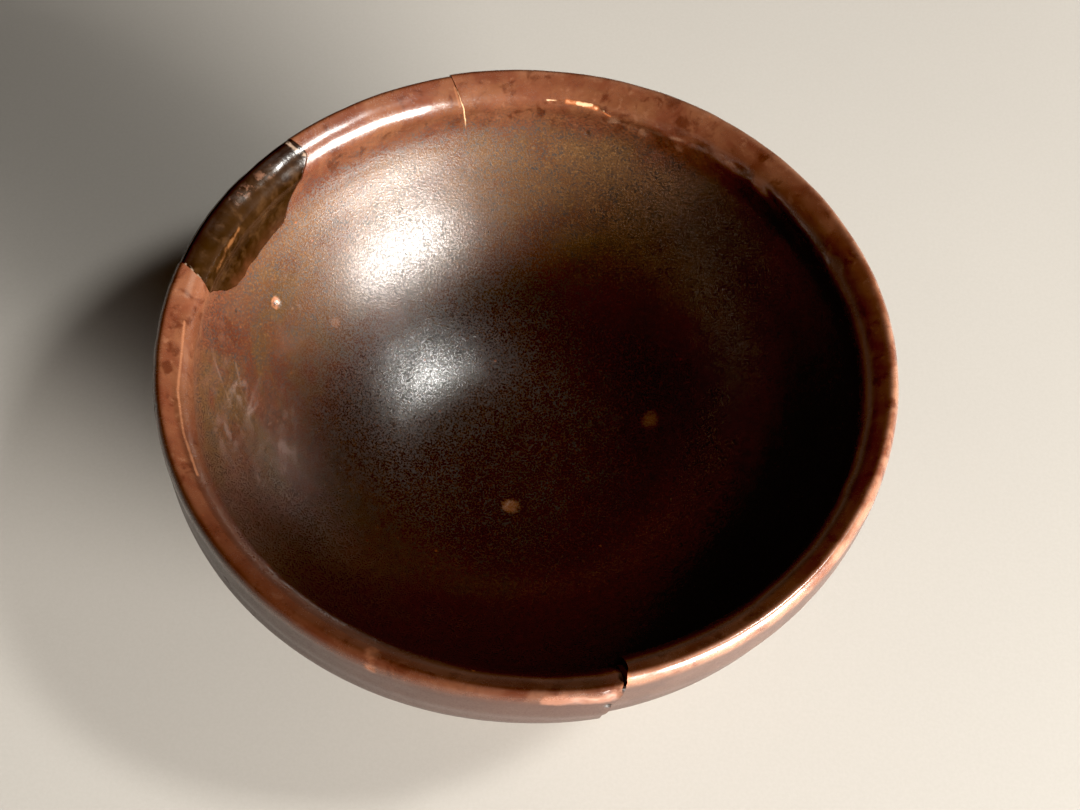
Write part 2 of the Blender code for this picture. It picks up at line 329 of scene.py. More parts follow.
def turned_mesh(name, lines, phi, shaped):
    """A closed turning. lines is a list of point lines, stacked in order and shaped together by shaped; the first and
    the last point lie on the axis.
    """
    rows = np.vstack(lines)
    cos, sin = np.cos(phi), np.sin(phi)
    x = rows[:, :1] * cos
    y = rows[:, :1] * sin
    z = np.repeat(rows[:, 1:], len(phi), 1)
    done = shaped(x, y, z)
    grid = np.stack(done, -1)
    n_rows, n_phi = grid.shape[:2]
    first = grid[0].mean(0)
    last = grid[-1].mean(0)
    verts = np.vstack([first[None], grid[1:-1].reshape(-1, 3), last[None]])
    i = np.arange(n_rows - 3)[:, None]
    j = np.arange(n_phi)[None, :]
    k = (j + 1) % n_phi
    a, b, c, d = 1 + i * n_phi + j, 1 + i * n_phi + k, 1 + (i + 1) * n_phi + k, 1 + (i + 1) * n_phi + j
    quads = np.stack([a, b, c, d], -1).reshape(-1, 4)
    end = len(verts) - 1
    base = 1 + (n_rows - 3) * n_phi
    fan_a = [(0, 1 + (q + 1) % n_phi, 1 + q) for q in range(n_phi)]
    fan_b = [(end, base + q, base + (q + 1) % n_phi) for q in range(n_phi)]
    mesh = bpy.data.meshes.new(name)
    mesh.from_pydata((verts * MM).tolist(), [], quads.tolist() + fan_a + fan_b)
    mesh.update()
    obj = bpy.data.objects.new(name, mesh)
    bpy.context.scene.collection.objects.link(obj)
    return outward(obj)


def outward(obj):
    """Turns every face round if the mesh is inside out."""
    mesh = obj.data
    mesh.calc_loop_triangles()
    co = np.empty(len(mesh.vertices) * 3)
    mesh.vertices.foreach_get("co", co)
    co = co.reshape(-1, 3)
    tri = np.empty(len(mesh.loop_triangles) * 3, np.int32)
    mesh.loop_triangles.foreach_get("vertices", tri)
    if np.linalg.det(co[tri.reshape(-1, 3)]).sum() < 0:
        mesh.flip_normals()
    return obj


def with_normals(line, phi_x, rows):
    """Unit outward normals of a line (out of the clay), per row."""
    d = np.gradient(line, axis=0)
    d /= np.linalg.norm(d, axis=1)[:, None]
    return np.c_[-d[:, 1], d[:, 0]][rows]


def shaper(side, plain_rows, lines):
    """Shapes a turning: the lean everywhere, and the unevenness with full force on the finished rows. The back of a coat follows the same swellings without the pits."""
    rows = np.vstack(lines)
    finished = lines[0]
    d = np.gradient(finished, axis=0)
    d /= np.linalg.norm(d, axis=1)[:, None]
    normal = np.c_[-d[:, 1], d[:, 0]]

    def shaped(x, y, z):
        n = len(finished)
        r = np.maximum(np.hypot(x, y), 1e-9)
        ux, uy = x / r, y / r
        x1, y1, z1 = by_hand(x, y, z)
        nr = normal[:, :1]
        nz = normal[:, 1:]
        fx, fy, fz = rough_up(x1[:n], y1[:n], z1[:n], nr * ux[:n], nr * uy[:n], np.repeat(nz, x.shape[1], 1), side)
        if len(rows) > n:
            # what lies behind moves by the smooth part of the same shift
            bx, by, bz = x1[n:], y1[n:], z1[n:]
            deg = np.degrees(np.arctan2(by, bx))
            away_front = ((deg + 74.5 + 180) % 360 - 180) / 20.0
            high = smooth(bz, 36, 57)
            drop = (0.95 if side <= 0 else -0.12) * np.exp(-np.abs(away_front) ** 1.4) * high
            bz = bz - drop
            return np.vstack([fx, bx]), np.vstack([fy, by]), np.vstack([fz, bz])
        return fx, fy, fz

    return shaped


# --- cutters --------------------------------------------------------------------------------
def break_x(y):
    t = y / 59.0
    bow = np.maximum(1 - t * t, 0.0)
    return -0.2 - 16.1 * t + 8.4 * bow + 2.0 * np.sin(3.6 * t + 0.5) * bow


def break_surface(y, z):
    """x of the middle of the break at (y, z), with the jaggedness of broken stoneware, and a lean at the front."""
    x = break_x(y)
    front = smooth(y, -50, -57)
    down = np.clip(60 - z, 0, 60)
    lean = -np.interp(down, [0, 1.2, 2.6, 5.2, 10, 22, 60], [0, 0.0, 0.5, 2.2, 3.2, 3.8, 1.5])
    x = x + front * lean + 0.45 * front
    back = smooth(y, 50, 54)
    x = x + back * np.interp(down, [0, 2, 6, 10, 60], [-0.15, -0.1, 0.3, 0.6, 1.0])
    x = x + 0.16 * noise3(y, z, 0 * y, 3.1, 31) + 0.10 * noise3(y, z, 0 * y, 1.3, 32) + 0.05 * noise3(y, z, 0 * y, 0.6, 33)
    return x


def half_gap(y, z):
    """Half the width of the open crack."""
    top = smooth(z, 47.5, 52)
    back = 0.07 * smooth(y, 40, 50) * top
    front = (0.015 + 0.20 * smooth(z, 57.6, 58.4)) * smooth(y, -50, -54) * smooth(z, 45, 50)
    return 0.02 + back * (1 + 0.5 * noise3(y, z, 0 * y, 2.2, 35)) + front * (1 + 0.45 * noise3(y, z, 0 * y, 1.8, 36))


def rim_samples():
    """y positions across the bowl, close together where the break crosses the rim."""
    a = np.arange(-80, -62, 3.0)
    b = np.arange(-62, -48, 0.28)
    c = np.arange(-48, 48, 1.2)
    d = np.arange(48, 62, 0.28)
    e = np.arange(62, 81, 3.0)
    return np.concatenate([a, b, c, d, e])


def wall_samples():
    return np.concatenate([np.arange(-10, 44, 2.4), np.arange(44, 62, 0.32), np.arange(62, 81, 3.0)])


def slab_between(name, left, right):
    """A closed solid between two surfaces x = left(y, z) and x = right(y, z)."""
    ys, zs = rim_samples(), wall_samples()
    Y, Z = np.meshgrid(ys, zs, indexing="ij")
    A = np.stack([left(Y, Z), Y, Z], -1).reshape(-1, 3)
    B = np.stack([right(Y, Z), Y, Z], -1).reshape(-1, 3)
    ny, nz = len(ys), len(zs)
    i, j = np.meshgrid(np.arange(ny - 1), np.arange(nz - 1), indexing="ij")
    a, b, c, d = i * nz + j, (i + 1) * nz + j, (i + 1) * nz + j + 1, i * nz + j + 1
    near = np.stack([a, d, c, b], -1).reshape(-1, 4)
    far = near[:, ::-1] + ny * nz
    faces = near.tolist() + far.tolist()
    edge = [q * nz for q in range(ny)] + [(ny - 1) * nz + q for q in range(1, nz)] + [q * nz + nz - 1 for q in range(ny - 2, -1, -1)] + [q for q in range(nz - 2, 0, -1)]
    for p, q in zip(edge, edge[1:] + edge[:1]):
        faces.append([p, q, q + ny * nz, p + ny * nz])
    mesh = bpy.data.meshes.new(name)
    mesh.from_pydata((np.vstack([A, B]) * MM).tolist(), [], faces)
    mesh.update()
    obj = bpy.data.objects.new(name, mesh)
    bpy.context.scene.collection.objects.link(obj)
    return outward(obj)


def patch_outline(grow):
    """The fill's outline as a broken edge, moved out by grow mm."""
    p = np.array(PATCH_OUTLINE, float)
    dense = []
    for i in range(len(p)):
        a, b = p[i], p[(i + 1) % len(p)]
        n = max(int(np.linalg.norm(b - a) / 0.4), 1)
        for t in np.arange(n) / n:
            dense.append(a + (b - a) * t)
    dense = np.array(dense)
    # rounded corners, then a broken edge
    for _ in range(6):
        inner = dense[:, 1] < 62
        smoothed = (np.roll(dense, 1, 0) + 2 * dense + np.roll(dense, -1, 0)) / 4
        dense = np.where(inner[:, None], smoothed, dense)
    d = np.roll(dense, -1, 0) - np.roll(dense, 1, 0)
    d /= np.linalg.norm(d, axis=1)[:, None]
    out = np.c_[d[:, 1], -d[:, 0]]
    wobble = 0.22 * noise3(dense[:, 0], dense[:, 1], 0 * dense[:, 0], 2.3, 41) + 0.10 * noise3(dense[:, 0], dense[:, 1], 0 * dense[:, 0], 0.9, 42)
    return dense + out * (wobble + grow)[:, None]


def patch_prism(name, grow):
    outline = patch_outline(grow)
    n = len(outline)
    az = math.radians(PATCH_AZIMUTH)
    out = np.array([math.cos(az), math.sin(az), 0])
    # the outline's u runs as the CAD's does: its turn is (90 deg, 0, azimuth + 90 deg)
    u = np.array([math.cos(az + math.pi / 2), math.sin(az + math.pi / 2), 0])
    up = np.array([0, 0, 1.0])
    ring = outline[:, :1] * u + outline[:, 1:] * up
    verts = np.vstack([ring + 40 * out, ring + 80 * out])
    faces = [list(range(n)), list(range(2 * n - 1, n - 1, -1))]
    for i in range(n):
        j = (i + 1) % n
        faces.append([i, i + n, j + n, j])
    mesh = bpy.data.meshes.new(name)
    mesh.from_pydata((verts * MM).tolist(), [], faces)
    mesh.update()
    obj = bpy.data.objects.new(name, mesh)
    bpy.context.scene.collection.objects.link(obj)
    return outward(obj)


def cut(obj, *steps):
    """obj after these (operation, cutter) Booleans, applied."""
    for operation, cutter in steps:
        m = obj.modifiers.new("cut", "BOOLEAN")
        m.operation = operation
        m.solver = "MANIFOLD"
        m.object = cutter
    graph = bpy.context.evaluated_depsgraph_get()
    graph.update()
    mesh = bpy.data.meshes.new_from_object(obj.evaluated_get(graph))
    obj.modifiers.clear()
    obj.data = mesh
    mesh.name = obj.name
    mesh.shade_smooth()
    mesh.set_sharp_from_angle(angle=math.radians(38))
    return obj


# --- build the pieces -------------------------------------------------------------------------
N_PHI = 640
PHI = azimuths(N_PHI)
# coarser behind: every sixth point of the fine line
BACK = inset(FINE, GLAZE)[::-1]
BACK = np.vstack([BACK[:1], BACK[4:-4:7], BACK[-1:]])
CLAY_TOP = inset(FINE, GLAZE + GAP)
CLAY_TOP = np.vstack([CLAY_TOP[:1], CLAY_TOP[3:-3:4], CLAY_TOP[-1:]])
PHI_CLAY = azimuths(300)
BARE_FINE = BARE


def coat(name, side):
    lines = [FINE, BACK]
    return turned_mesh(name, lines, PHI, shaper(side, None, lines))


def clay_shape(side):
    def shaped(x, y, z):
        x, y, z = by_hand(x, y, z)
        deg = np.degrees(np.arctan2(y, x))
        away_front = ((deg + 74.5 + 180) % 360 - 180) / 20.0
        high = smooth(z, 36, 57)
        z = z - (0.95 if side <= 0 else -0.12) * np.exp(-np.abs(away_front) ** 1.4) * high
        # the bare foot: trimming grooves, a worn standing edge and grog
        r = np.maximum(np.hypot(x, y), 1e-6)
        low = smooth(z, 14, 10)
        phi = np.arctan2(y, x)
        push = low * (0.10 * np.sin(2 * math.pi * (z / 1.7 + phi / (2 * math.pi)) + 1.1 * noise3(x, y, z, 7, 51)) + 0.09 * noise3(x, y, z, 2.4, 52) + 0.12 * noise3(x, y, z, 8, 53))
        inner = low * smooth(r, 19, 17)
        x = x + x / r * push * (1 - inner)
        y = y + y / r * push * (1 - inner)
        lift = inner * (0.10 * np.sin(2 * math.pi * (r / 2.6 + phi / (2 * math.pi))) + 0.08 * noise3(x, y, z, 2.6, 54)) * smooth(r, 1, 4)
        z = z + lift + low * smooth(z, 1.2, 0.2) * 0.06 * (1 + noise3(x, y, z, 3.0, 55))
        z = np.maximum(z, 0.0)
        return x, y, z

    return shaped


def clay(name, side):
    lines = [CLAY_TOP, BARE_FINE]
    return turned_mesh(name, lines, PHI_CLAY, clay_shape(side))


left_half = slab_between("cut_left", lambda y, z: 0 * y - 90, lambda y, z: break_surface(y, z) - half_gap(y, z))
right_half = slab_between("cut_right", lambda y, z: break_surface(y, z) + half_gap(y, z), lambda y, z: 0 * y + 90)
sheet = slab_between("cut_sheet", lambda y, z: break_surface(y, z) - half_gap(y, z) - 0.02, lambda y, z: break_surface(y, z) + half_gap(y, z) + 0.02)
hole = patch_prism("cut_hole", 0.03)
fill = patch_prism("cut_fill", -0.02)

left_skin = cut(coat("left_glaze_skin", -1), ("INTERSECT", left_half), ("DIFFERENCE", hole))
right_skin = cut(coat("right_glaze_skin", 1), ("INTERSECT", right_half))
lacquer = cut(coat("lacquer_fill", 0), ("INTERSECT", fill))
left_clay = cut(clay("left_clay_body", -1), ("INTERSECT", left_half), ("DIFFERENCE", hole))
right_clay = cut(clay("right_clay_body", 1), ("INTERSECT", right_half))
putty = cut(clay("putty_core", -1), ("INTERSECT", fill))


def seam_form(name):
    """The whole finished bowl a hair smaller all over, for the glue in the break."""
    lines = [FINE, BARE_FINE[1:]]
    shaped = shaper(-1, None, lines)

    def lower(x, y, z):
        x, y, z = shaped(x, y, z)
        # a hair under the surface inside, deeper at the lip where the glue shrank back
        r = np.maximum(np.hypot(x, y), 1e-6)
        rows = len(FINE)
        d = np.gradient(FINE, axis=0)
        d /= np.linalg.norm(d, axis=1)[:, None]
        sink = np.zeros_like(x)
        sink[:rows] = 0.015 + 0.16 * smooth(z[:rows], 53, 57.5)
        nr = np.zeros_like(x)
        nz = np.zeros_like(x)
        nr[:rows] = -d[:, 1:2]
        nz[:rows] = d[:, :1]
        x = x - x / r * nr * sink
        y = y - y / r * nr * sink
        z = z - nz * sink
        z[rows:] = np.maximum(z[rows:], 0.05)
        return x, y, z

    return turned_mesh(name, lines, PHI, lower)


seam = cut(seam_form("glue_seam"), ("INTERSECT", sheet))
for helper in (left_half, right_half, sheet, hole, fill):
    bpy.data.objects.remove(helper, do_unlink=True)


# --- materials ----------------------------------------------------------------------------------
class Graph:
    """Short names for the nodes of one material. Positions are in millimetres in the row frame."""

    def __init__(self, name):
        self.material = bpy.data.materials.new(name)
        self.material.use_nodes = True
        self.tree = self.material.node_tree
        self.shader = self.tree.nodes["Principled BSDF"]
        place = self.tree.nodes.new("ShaderNodeTexCoord")
        self.p = self.vmath("SCALE", place.outputs["Object"], scale=1000.0)

    def link(self, value, socket):
        if isinstance(value, bpy.types.NodeSocket):
            self.tree.links.new(value, socket)
        elif isinstance(value, (tuple, list)) and len(value) == 3 and socket.type == "RGBA":
            socket.default_value = (*value, 1)
        else:
            socket.default_value = value

    def math(self, op, a, b=0.0, c=0.0, clamp=False):
        node = self.tree.nodes.new("ShaderNodeMath")
        node.operation = op
        node.use_clamp = clamp
        for value, socket in zip((a, b, c), node.inputs):
            self.link(value, socket)
        return node.outputs[0]

    def add(self, a, b):
        return self.math("ADD", a, b)

    def sub(self, a, b):
        return self.math("SUBTRACT", a, b)

    def mul(self, a, b):
        return self.math("MULTIPLY", a, b)

    def vmath(self, op, a, b=(0, 0, 0), scale=None):
        node = self.tree.nodes.new("ShaderNodeVectorMath")
        node.operation = op
        self.link(a, node.inputs[0])
        if op not in ("LENGTH", "SCALE"):
            self.link(b, node.inputs[1])
        if scale is not None:
            self.link(scale, node.inputs["Scale"])
        return node.outputs["Value"] if op in ("LENGTH", "DOT_PRODUCT", "DISTANCE") else node.outputs["Vector"]

    def noise(self, size, detail=2.0, rough=0.5, warp=0.0, offset=(0, 0, 0), at=None, stretch=None):
        """Noise whose lumps are about size mm across, 0..1."""
        node = self.tree.nodes.new("ShaderNodeTexNoise")
        where = self.vmath("ADD", at or self.p, offset)
        if stretch is not None:
            where = self.vmath("MULTIPLY", where, stretch)
        self.link(where, node.inputs["Vector"])
        node.inputs["Scale"].default_value = 1.0 / size
        node.inputs["Detail"].default_value = detail
        node.inputs["Roughness"].default_value = rough
        node.inputs["Distortion"].default_value = warp
        return node.outputs["Fac"]

    def cells(self, size, offset=(0, 0, 0), feature="F1", jitter=1.0):
        node = self.tree.nodes.new("ShaderNodeTexVoronoi")
        node.feature = feature
        self.link(self.vmath("ADD", self.p, offset), node.inputs["Vector"])
        node.inputs["Scale"].default_value = 1.0 / size
        node.inputs["Randomness"].default_value = jitter
        return node.outputs["Distance"]

    def ramp(self, value, lo, hi, a=0.0, b=1.0):
        node = self.tree.nodes.new("ShaderNodeMapRange")
        node.interpolation_type = "SMOOTHSTEP"
        self.link(value, node.inputs["Value"])
        for number, name in zip((lo, hi, a, b), ("From Min", "From Max", "To Min", "To Max")):
            node.inputs[name].default_value = number
        return node.outputs["Result"]

    def mix(self, share, a, b, how="MIX"):
        node = self.tree.nodes.new("ShaderNodeMix")
        node.data_type = "RGBA"
        node.blend_type = how
        self.link(share, node.inputs["Factor"])
        self.link(a, node.inputs["A"] if False else node.inputs[6])
        self.link(b, node.inputs[7])
        return node.outputs[2]

    def xyz(self):
        node = self.tree.nodes.new("ShaderNodeSeparateXYZ")
        self.link(self.p, node.inputs[0])
        return node.outputs

    def spot(self, centre, inner, outer, ragged=0.0, at=None):
        """1 within inner mm of the centre, 0 beyond outer."""
        if math.hypot(centre[0], centre[1]) > 50:
            centre = on_surface(centre)
        d = self.vmath("DISTANCE", at or self.p, centre)
        if ragged:
            d = self.add(d, self.mul(self.sub(self.noise(max(inner, 0.35)), 0.5), ragged))
        return self.ramp(d, inner, outer, 1.0, 0.0)

    def stroke(self, path, inner, outer, ragged=0.0, lump=1.0):
        """1 along a polyline, laid on the surface."""
        best = None
        dense = [path[0]]
        for a, b in zip(path[:-1], path[1:]):
            steps = max(int(math.dist(a, b) / 4.5), 1)
            dense += [tuple(p + (q - p) * k / steps for p, q in zip(a, b)) for k in range(1, steps + 1)]
        path = [on_surface(p) for p in dense]
        for a, b in zip(path[:-1], path[1:]):
            ab = tuple(q - p for p, q in zip(a, b))
            square = sum(v * v for v in ab)
            from_a = self.vmath("SUBTRACT", self.p, a)
            t = self.math("MULTIPLY", self.vmath("DOT_PRODUCT", from_a, ab), 1.0 / square, clamp=True)
            d = self.vmath("LENGTH", self.vmath("SUBTRACT", from_a, self.vmath("SCALE", ab, scale=t)))
            best = d if best is None else self.math("MINIMUM", best, d)
        if ragged:
            best = self.add(best, self.mul(self.sub(self.noise(lump, 3.0), 0.5), ragged))
        return self.ramp(best, inner, outer, 1.0, 0.0)

    def paint(self, colour, mask, new):
        return self.mix(mask, colour, new)

    def bump(self, height, strength, distance_mm, normal=None):
        node = self.tree.nodes.new("ShaderNodeBump")
        node.inputs["Strength"].default_value = strength
        node.inputs["Distance"].default_value = distance_mm * MM
        self.link(height, node.inputs["Height"])
        if normal is not None:
            self.link(normal, node.inputs["Normal"])
        return node.outputs["Normal"]

    def finish(self, colour, rough, normal, coat=0.0, coat_rough=0.05, level=0.5, ior=1.5):
        s = self.shader
        self.link(colour, s.inputs["Base Color"])
        self.link(rough, s.inputs["Roughness"])
        self.link(normal, s.inputs["Normal"])
        s.inputs["Coat Weight"].default_value = coat
        s.inputs["Coat Roughness"].default_value = coat_rough
        s.inputs["Specular IOR Level"].default_value = level
        s.inputs["IOR"].default_value = ior
        return self.material


CREAM = (0.62, 0.42, 0.25)
ORANGE = (0.42, 0.13, 0.045)


def any_of(g, *masks):
    out = masks[0]
    for m in masks[1:]:
        out = g.math("MAXIMUM", out, m)
    return out


def glaze_material(name, seam_colour=False):
    g = Graph(name)
    x, y, z = g.xyz()
    r = g.vmath("LENGTH", g.vmath("MULTIPLY", g.p, (1, 1, 0)))
    ball = g.vmath("DISTANCE", g.p, (0, 0, BALL_Z))
    inside = g.ramp(ball, INNER_BALL + 1.0, INNER_BALL + 1.8, 1.0, 0.0)
    lip = g.ramp(z, 48.0, 52.5)
    outer = g.mul(g.ramp(ball, INNER_BALL + 2.6, INNER_BALL + 4.4), g.ramp(z, 59.0, 56.8, 0.0, 1.0))

    large = g.noise(26, 3.0, 0.55, 0.4)
    middle = g.noise(8.5, 4.0, 0.6, 0.6, (7, 3, 9))
    small = g.noise(2.6, 4.0, 0.6, 0.2, (1, 8, 4))
    fine = g.noise(0.36, 2.0, 0.6, 0.0, (3, 3, 1))
    grain = g.noise(0.22, 1.0, 0.5, 0.0, (9, 1, 5))

    red = g.mix(g.ramp(large, 0.36, 0.64), (0.066, 0.018, 0.009), (0.106, 0.034, 0.017))
    red = g.mix(g.ramp(middle, 0.40, 0.66), red, (0.086, 0.032, 0.017))
    olive = g.mul(g.ramp(g.noise(15, 3.0, 0.6, 0.8, (30, 2, 11)), 0.44, 0.62), inside)
    red = g.mix(g.mul(olive, 0.75), red, (0.078, 0.043, 0.017))
    pink = g.mul(g.ramp(g.noise(10, 3.0, 0.6, 0.9, (2, 40, 7)), 0.54, 0.70), inside)
    red = g.mix(g.mul(pink, 0.5), red, (0.130, 0.056, 0.036))
    red = g.mix(g.mul(lip, 0.75), red, g.mix(g.ramp(middle, 0.36, 0.64), (0.098, 0.031, 0.017), (0.145, 0.056, 0.029)))

    mottle = g.noise(1.7, 4.0, 0.65, 0.3, (11, 5, 2))
    red = g.mix(g.mul(lip, g.ramp(mottle, 0.56, 0.70, 0.0, 0.55)), red, (0.185, 0.082, 0.046))
    red = g.mix(g.mul(lip, g.ramp(g.noise(3.6, 4.0, 0.62, 0.5, (2, 6, 20)), 0.52, 0.68, 0.0, 0.75)), red, (0.046, 0.012, 0.006))
    # the right half of the rim is painted paler on its outer edge, in patches: painted sheen on the side that faces the
    # lamp
    pale = g.mul(g.mul(lip, g.ramp(r, 58.6, 60.6)), g.mul(g.ramp(x, -18.0, 12.0), g.ramp(g.noise(5.0, 4.0, 0.6, 0.4, (1, 1, 13)), 0.36, 0.60)))
    red = g.mix(g.mul(pale, 0.8), red, (0.25, 0.125, 0.078))
    red = g.mix(g.mul(outer, 0.88), red, (0.030, 0.014, 0.010))
    # painted light: the back of the inside wall, which the lamp lights, is painted lighter and more golden in patches,
    # over its gold-brown tint
    back = g.mul(g.mul(g.mul(inside, g.ramp(y, 8.0, 34.0)), g.ramp(z, 24.0, 34.0)), g.ramp(z, 51.0, 46.0))
    red = g.mix(g.mul(back, g.ramp(g.noise(11, 3.0, 0.6, 0.7, (3, 17, 9)), 0.34, 0.58, 0.25, 0.8)), red, (0.135, 0.068, 0.032))
    # painted shade: the floor of the inside and its front wall are painted dark, where the rim's shadow falls
    floor_and_front_shade = g.math("MAXIMUM", g.mul(inside, g.ramp(z, 34.0, 18.0)), g.mul(inside, g.ramp(y, 2.0, -30.0)))
    red = g.mix(g.mul(floor_and_front_shade, 0.74), red, (0.022, 0.007, 0.003))
    # painted shade: the front left of the rim is painted darker, on the side turned away from the lamp
    front_rim_shade = g.mul(lip, g.mul(g.ramp(y, -18.0, -38.0), g.ramp(x, 15.0, 12.0)))
    red = g.mix(g.mul(front_rim_shade, 0.6), red, (0.034, 0.011, 0.006))
    # gold-brown grains between the dark ones, more of them on the back wall, where they add to the painted light there
    gold = g.mul(g.mul(inside, g.ramp(z, 57.0, 50.0)), g.ramp(g.noise(0.42, 2.0, 0.6, 0.0, (7, 2, 8)), 0.52, 0.64))
    red = g.mix(g.mul(gold, g.add(0.25, g.mul(back, 0.45))), red, (0.200, 0.105, 0.046))

    # fine dark speckle where iron crystals came out, thickest on the inside wall
    speck = g.mul(g.ramp(fine, 0.49, 0.60), g.ramp(small, 0.34, 0.64, 0.45, 1.0))
    speck2 = g.ramp(grain, 0.54, 0.68)
    dark = g.math("MAXIMUM", speck, g.mul(speck2, 0.7))
    dark = g.mul(dark, g.add(g.mul(g.mul(inside, g.ramp(z, 58.0, 50.0)), 0.84), 0.16))
    colour = g.mix(dark, red, (0.010, 0.005, 0.003))
    # a few larger dark blots
    blots = g.mul(g.ramp(g.cells(6.5, (4, 4, 4)), 0.10, 0.05), g.ramp(middle, 0.5, 0.6))
    colour = g.mix(g.mul(blots, 0.8), colour, (0.015, 0.007, 0.005))
    # pin-prick pale flecks
    flecks = g.mul(g.ramp(g.cells(4.2, (9, 2, 6)), 0.085, 0.03), g.ramp(g.noise(12, 2.0, 0.5, 0.0, (5, 5, 5)), 0.50, 0.60))
    colour = g.mix(g.mul(flecks, 0.45), colour, ORANGE)

    # --- marks with a place of their own
    # an orange line along the inner edge of the lip on the left: thin glaze at the edge, brightened into a painted
    # highlight
    lip_edge_glaze_and_glint = g.mul(g.stroke([(-56.2, 2.5, 59), (-55.9, -3.4, 59), (-55.7, -11, 59.3), (-53.4, -18.6, 59.5), (-50, -26, 59.4)], 0.03, 0.36, 0.35), 0.5)
    colour = g.mix(lip_edge_glaze_and_glint, colour, (0.27, 0.115, 0.058))
    marks = g.stroke([(-56.6, 7.5, 59.5), (-55.6, 15.1, 59.8), (-53, 22.2, 59.9), (-50.2, 27.8, 59.8)], 0.10, 0.9, 0.8)
    colour = g.mix(g.mul(marks, 0.16), colour, (0.30, 0.20, 0.15))
    ragged = g.mul(g.stroke(RAGGED, 0.05, 0.75, 1.2, 1.6), g.ramp(g.noise(2.0, 3.0, 0.6, 0.0, (3, 12, 1)), 0.42, 0.60))
    colour = g.mix(g.mul(ragged, 0.6), colour, (0.20, 0.105, 0.066))
    for centre, inner, outer_, new, share in (
        ((-45.8, 19.9, 39.7), 0.75, 1.30, (0.34, 0.14, 0.07), 0.8), ((-42.9, 20.9, 36.6), 0.15, 0.45, (0.34, 0.20, 0.13), 0.5),
        ((-36.1, 23, 29.5), 0.5, 1.3, (0.22, 0.10, 0.055), 0.5), ((-58.6, -14.6, 59.1), 0.4, 1.0, (0.02, 0.008, 0.005), 0.8), ((-21, -57, 58.6), 0.4, 1.4, (0.22, 0.085, 0.042), 0.5),
        ((-20.9, -55.3, 59.9), 0.4, 1.6, (0.20, 0.085, 0.045), 0.45), ((-2, -5.5, 12.8), 0.9, 1.9, (0.24, 0.10, 0.045), 0.8), ((9.7, 53.9, 49.9), 0.3, 0.8, (0.03, 0.012, 0.006), 0.6),
        ((26.7, 49.1, 53.4), 0.2, 1.3, (0.22, 0.10, 0.055), 0.5), ((20, 52.2, 53.6), 0.2, 1.4, (0.20, 0.10, 0.06), 0.5), ((14.5, 54, 54.8), 0.2, 1.5, (0.18, 0.10, 0.065), 0.5),
        ((44.5, 29.5, 47.3), 1.0, 4.5, (0.16, 0.05, 0.02), 0.6), ((24, 12, 16.8), 0.6, 2.2, (0.20, 0.09, 0.04), 0.55), ((-45.8, 19.9, 39.6), 0.35, 0.72, (0.006, 0.003, 0.002), 1.0),
    ):
        colour = g.mix(g.mul(g.spot(centre, inner, outer_, 0.9 * outer_), share), colour, new)
    # scratches and scuffs on the left of the inside, which look pale
    scuff_zone = g.mul(g.spot((-46, -6, 36), 5, 17), inside)
    streaks = g.ramp(g.noise(2.4, 4.0, 0.6, 0.9, (2, 2, 2), stretch=(1.0, 0.34, 0.8)), 0.47, 0.70)
    scuffs = g.mul(scuff_zone, g.mul(streaks, g.ramp(middle, 0.38, 0.60, 0.2, 1.0)))
    colour = g.mix(g.mul(scuffs, 0.40), colour, (0.34, 0.23, 0.20))
    scratch = None
    for path in ([(-53.5, 4.0, 48.5), (-52.2, 0.5, 44.5), (-50.3, -3.5, 41.0)], [(-51.0, 5.5, 42.5), (-49.3, 1.0, 38.8), (-46.5, -2.8, 35.0)], [(-49.8, -4.0, 40.5), (-46.2, -9.5, 36.8)], [(-47.5, -8.5, 38.2), (-43.8, -14.2, 34.9), (-41.8, -19.0, 33.8)], [(-52.5, -8.0, 46.8), (-50.4, -12.5, 44.0)], [(-42.4, -6.0, 30.3), (-40.6, -11.5, 30.0)]):
        s = g.stroke(path, 0.03, 0.34, 0.5, 1.6)
        scratch = s if scratch is None else g.math("MAXIMUM", scratch, s)
    colour = g.mix(g.mul(scratch, g.ramp(g.noise(2.2, 2.0, 0.5, 0.0, (8, 1, 1)), 0.40, 0.60, 0.02, 0.12)), colour, (0.36, 0.25, 0.21))

    # --- chips: bare cream body with orange edges
    crescent_edge = any_of(g, g.stroke(CRESCENT, 0.02, 0.26, 0.2, 0.8), g.stroke(CRESCENT[1:4], 0.25, 0.62, 0.35, 0.8))
    crescent = any_of(g, g.stroke([(1.9, 55.5, 56.7)] + CRESCENT[1:4] + [(12.4, 54.1, 56.1)], 0.08, 0.26, 0.2, 0.8), g.stroke(CRESCENT[1:4], 0.20, 0.36, 0.3, 0.8), g.stroke([(7.4, 54.8, 57.1), (10.0, 54.5, 56.9)], 0.34, 0.50, 0.3, 0.8))
    colour = g.mix(g.mul(crescent_edge, 0.9), colour, (0.33, 0.105, 0.040))
    colour = g.mix(crescent, colour, (0.50, 0.31, 0.17))
    front_chip = g.stroke(CHIP_EDGE, 0.45, 1.2, 1.1, 1.1)
    colour = g.mix(g.mul(front_chip, 0.7), colour, (0.20, 0.085, 0.050))
    front_core = g.stroke(CHIP_EDGE[1:], 0.10, 0.55, 0.9, 0.8)
    colour = g.mix(g.mul(front_core, g.ramp(small, 0.40, 0.60, 0.10, 0.6)), colour, (0.27, 0.155, 0.105))
    hole = g.spot((13.9, -59.9, 56.2), 0.42, 0.85, 0.5)
    colour = g.mix(hole, colour, (0.006, 0.003, 0.002))
    # worn edges of the break at the lip
    if not seam_colour:
        edge_back = g.stroke([(-15.3, 56.4, 58.2), (-14.7, 55.2, 57.4), (-14.2, 54.2, 56.2)], 0.08, 0.30, 0.12, 0.9)
        colour = g.mix(g.mul(edge_back, 0.3), colour, (0.30, 0.13, 0.06))
        edge_front = g.stroke([(16.0, -56.7, 60), (16.7, -57.9, 59.2), (16.0, -58.7, 58.4)], 0.2, 0.7, 0.7, 0.7)
        colour = g.mix(g.mul(edge_front, 0.5), colour, (0.36, 0.13, 0.06))

